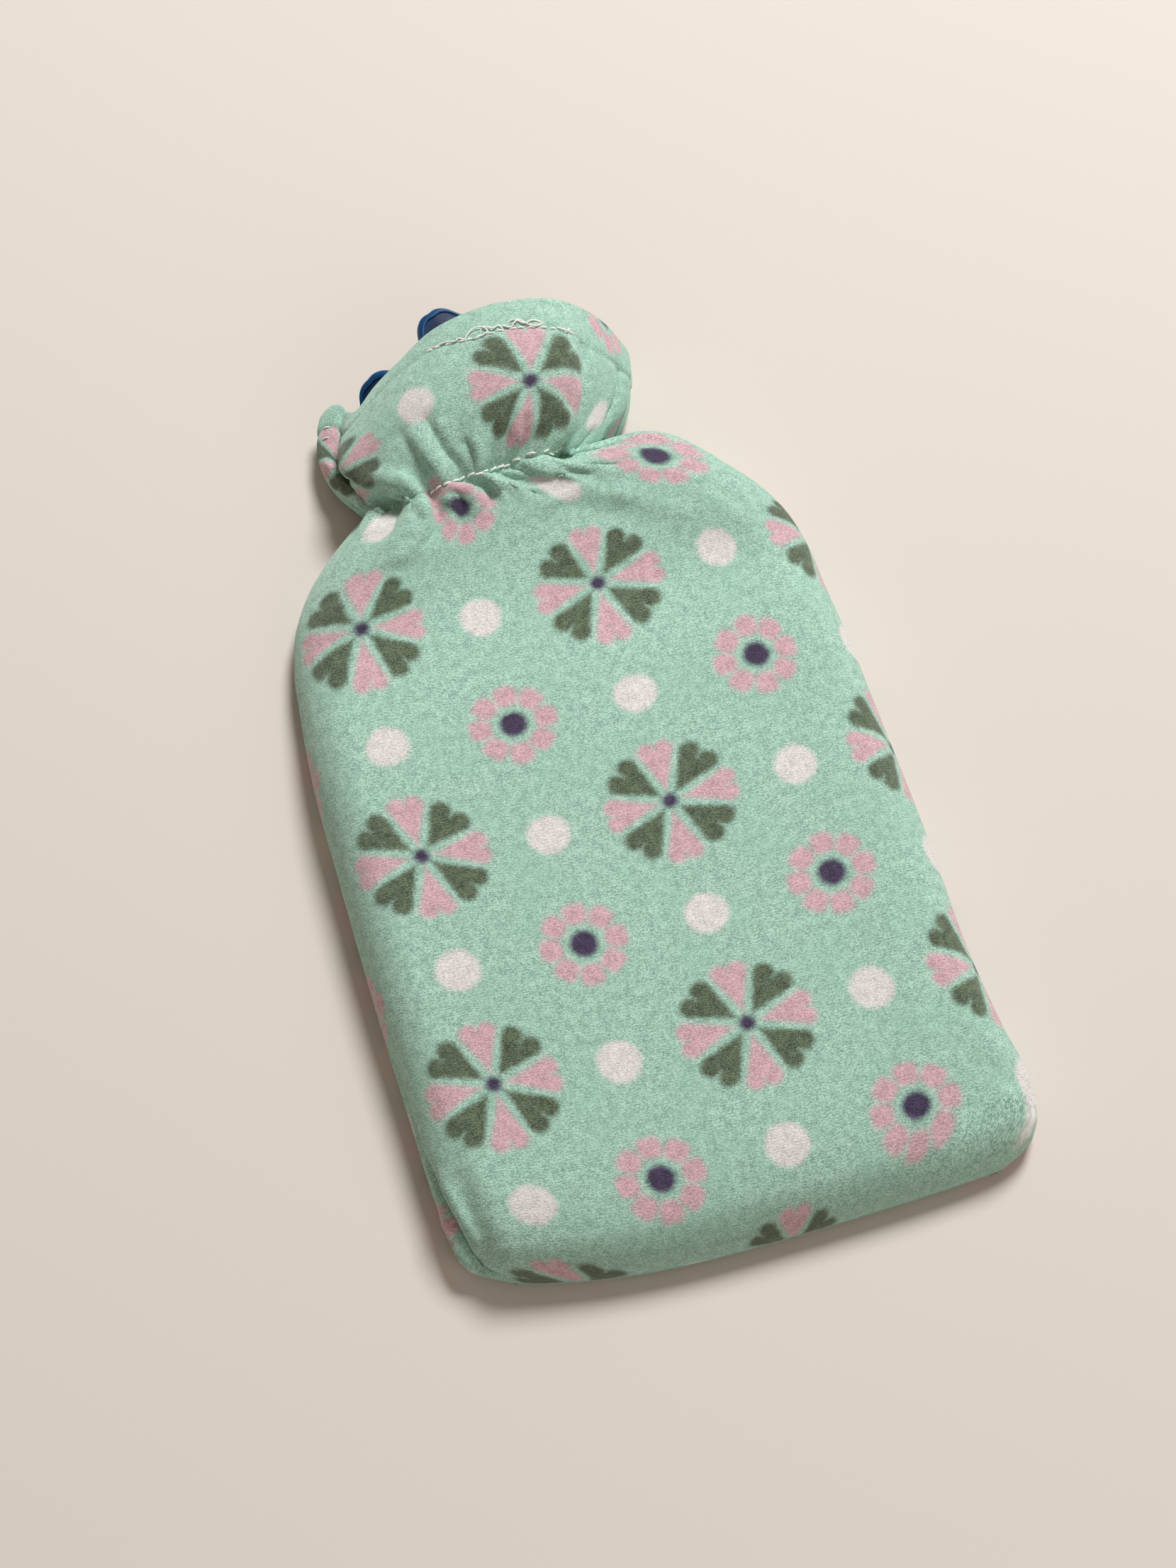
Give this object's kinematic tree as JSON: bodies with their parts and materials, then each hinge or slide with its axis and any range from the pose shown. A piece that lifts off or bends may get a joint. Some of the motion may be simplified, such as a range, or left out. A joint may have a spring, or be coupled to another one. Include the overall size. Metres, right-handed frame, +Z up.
{
  "type": "hot water bottle in a gathered cloth cover",
  "caption": "Rubber hot water bottle lying flat in a printed fleece cover, drawn in at the neck and open above it in a ruffled collar with a turned hem.",
  "frame": {"origin": "centre of the outline, on the surface that the underside rests on", "axes": "+Y along the bottle from its bottom edge towards its neck, +Z up from the surface it rests on"},
  "size_m": [0.1986, 0.3588, 0.0481],
  "materials": {
    "mint_fleece": "brushed printed fleece",
    "mint_fleece_back": "brushed printed fleece",
    "blue_rubber": "smooth, slightly glossy",
    "blue_rubber_mouth": "smooth, glossy"
  },
  "bodies": {
    "root": {"front_panel": "mint_fleece", "back_panel": "mint_fleece_back", "bottle_body": "blue_rubber", "bottle_mouth": "blue_rubber_mouth"}
  },
  "joints": []
}
